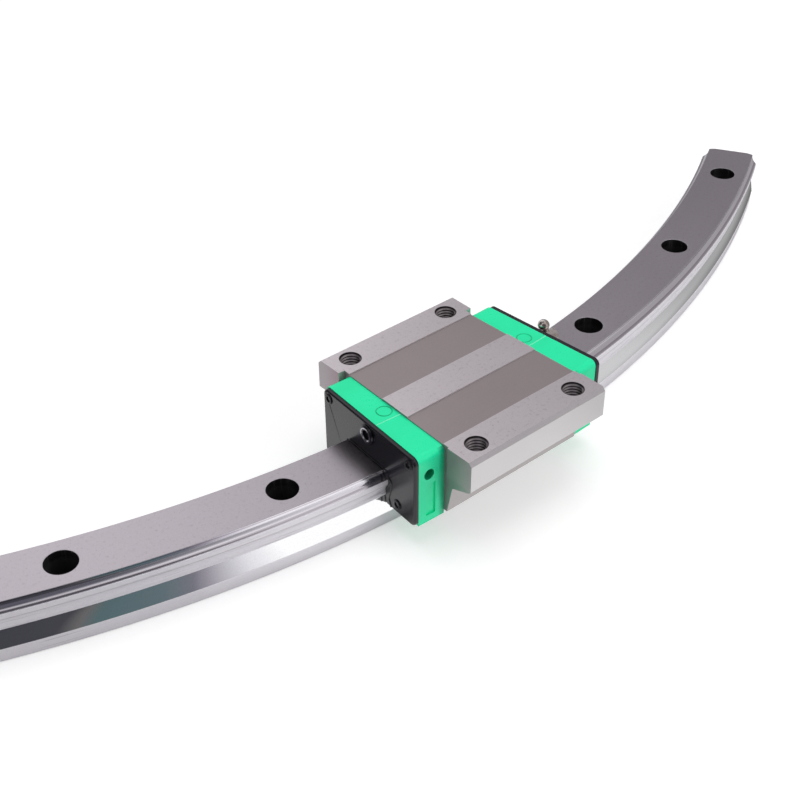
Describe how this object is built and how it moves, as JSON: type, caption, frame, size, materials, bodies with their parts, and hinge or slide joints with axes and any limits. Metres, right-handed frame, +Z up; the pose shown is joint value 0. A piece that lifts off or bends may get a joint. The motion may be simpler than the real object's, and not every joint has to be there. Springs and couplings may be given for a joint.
{
  "type": "curved linear guide rail",
  "caption": "Arc-shaped steel guide rail with counterbored bolt holes and a flanged carriage that runs along the arc on balls, with plastic end caps and black end seals.",
  "frame": {"origin": "axis of the middle rail hole at the rail's underside, on the pitch arc", "axes": "+Z up, +X along the rail at its middle, +Y towards the arc's centre"},
  "size_m": [0.6104, 0.1419, 0.0502],
  "materials": {
    "rail_steel": "ground",
    "block_steel": "ground",
    "cap_plastic": "satin",
    "seal_rubber": "satin",
    "screw_steel": "black oxide",
    "nipple_metal": "polished"
  },
  "bodies": {
    "rail": {"rail": "rail_steel"},
    "carriage": {"carriage_block": "block_steel", "end_cap_left": "cap_plastic", "end_cap_right": "cap_plastic", "end_seal_left": "seal_rubber", "end_seal_right": "seal_rubber", "grease_plug": "screw_steel", "grease_nipple": "nipple_metal"}
  },
  "joints": [
    {"name": "carriage_travel", "type": "hinge", "parent": "rail", "child": "carriage", "pos_m": [0, 0.6, 0], "axis": [0, 0, 1], "range_deg": [-24.5, 24.5]}
  ]
}
